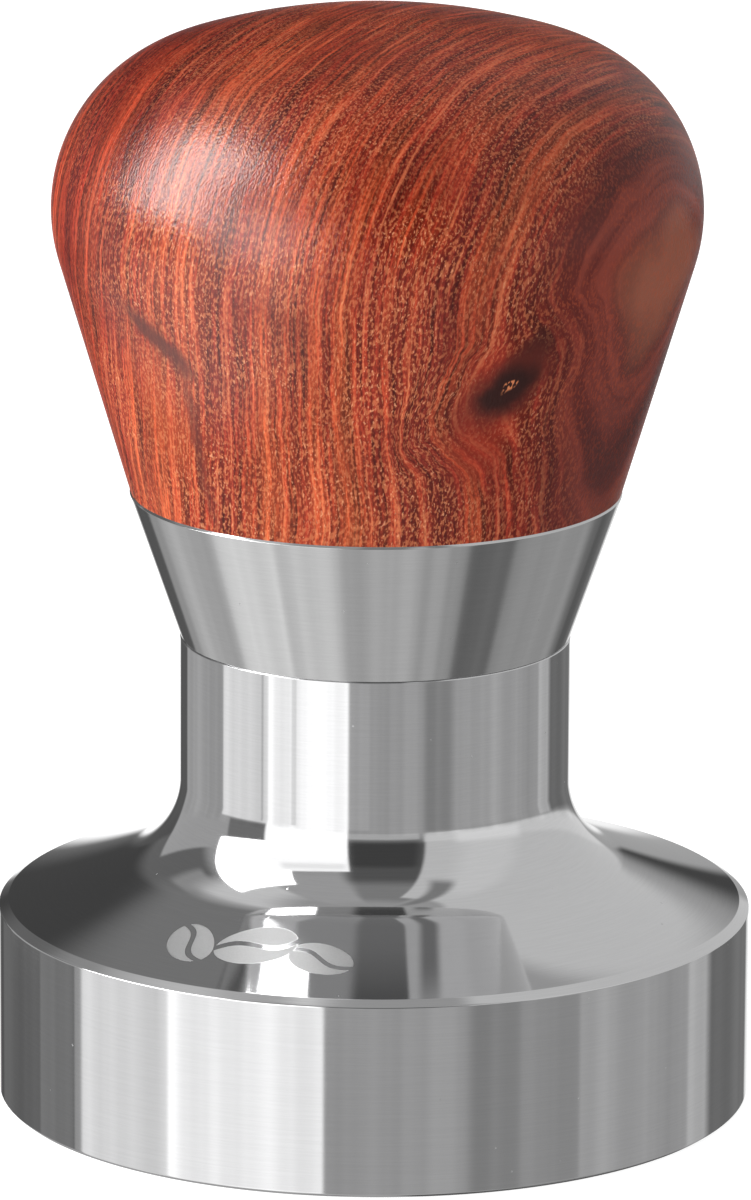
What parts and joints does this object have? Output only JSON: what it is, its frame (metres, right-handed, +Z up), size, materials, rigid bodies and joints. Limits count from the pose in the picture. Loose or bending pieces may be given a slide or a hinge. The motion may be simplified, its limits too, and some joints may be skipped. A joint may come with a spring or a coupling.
{
  "type": "espresso tamper",
  "caption": "Espresso tamper: a polished steel piston with a neck, a conical ferrule and a turned hardwood knob that unscrews from the piston.",
  "frame": {"origin": "centre of the tamping face, the flat underside of the piston", "axes": "+Z up along the tamper's axis towards the crown of the knob; +Y is away from the front and +X to its right"},
  "size_m": [0.051, 0.051, 0.0745],
  "materials": {
    "polished_steel": "mirror polished stainless steel",
    "satin_steel": "fine satin turned stainless steel",
    "hardwood": "polished reddish brown hardwood with dark streaks",
    "brass": "turned brass",
    "zinc_steel": "zinc-plated steel thread",
    "rubber": "black nitrile rubber"
  },
  "bodies": {
    "base": {"base": "polished_steel"},
    "seal": {"seal_ring": "rubber"},
    "handle": {"ferrule": "satin_steel", "handle_knob": "hardwood", "threaded_insert": "brass", "stud": "zinc_steel"}
  },
  "joints": [
    {"name": "handle_lift", "type": "slide", "parent": "base", "child": "seal", "axis": [0, 0, 1], "range_m": [0, 0.00875]},
    {"name": "handle_unscrew", "type": "hinge", "parent": "seal", "child": "handle", "pos_m": [0, 0, 0.03185], "axis": [0, 0, 1], "range_deg": [0, 2520]}
  ],
  "couplings": [
    {"joint": "handle_lift", "follows": "handle_unscrew", "m_per_rad": 0.00019894}
  ]
}
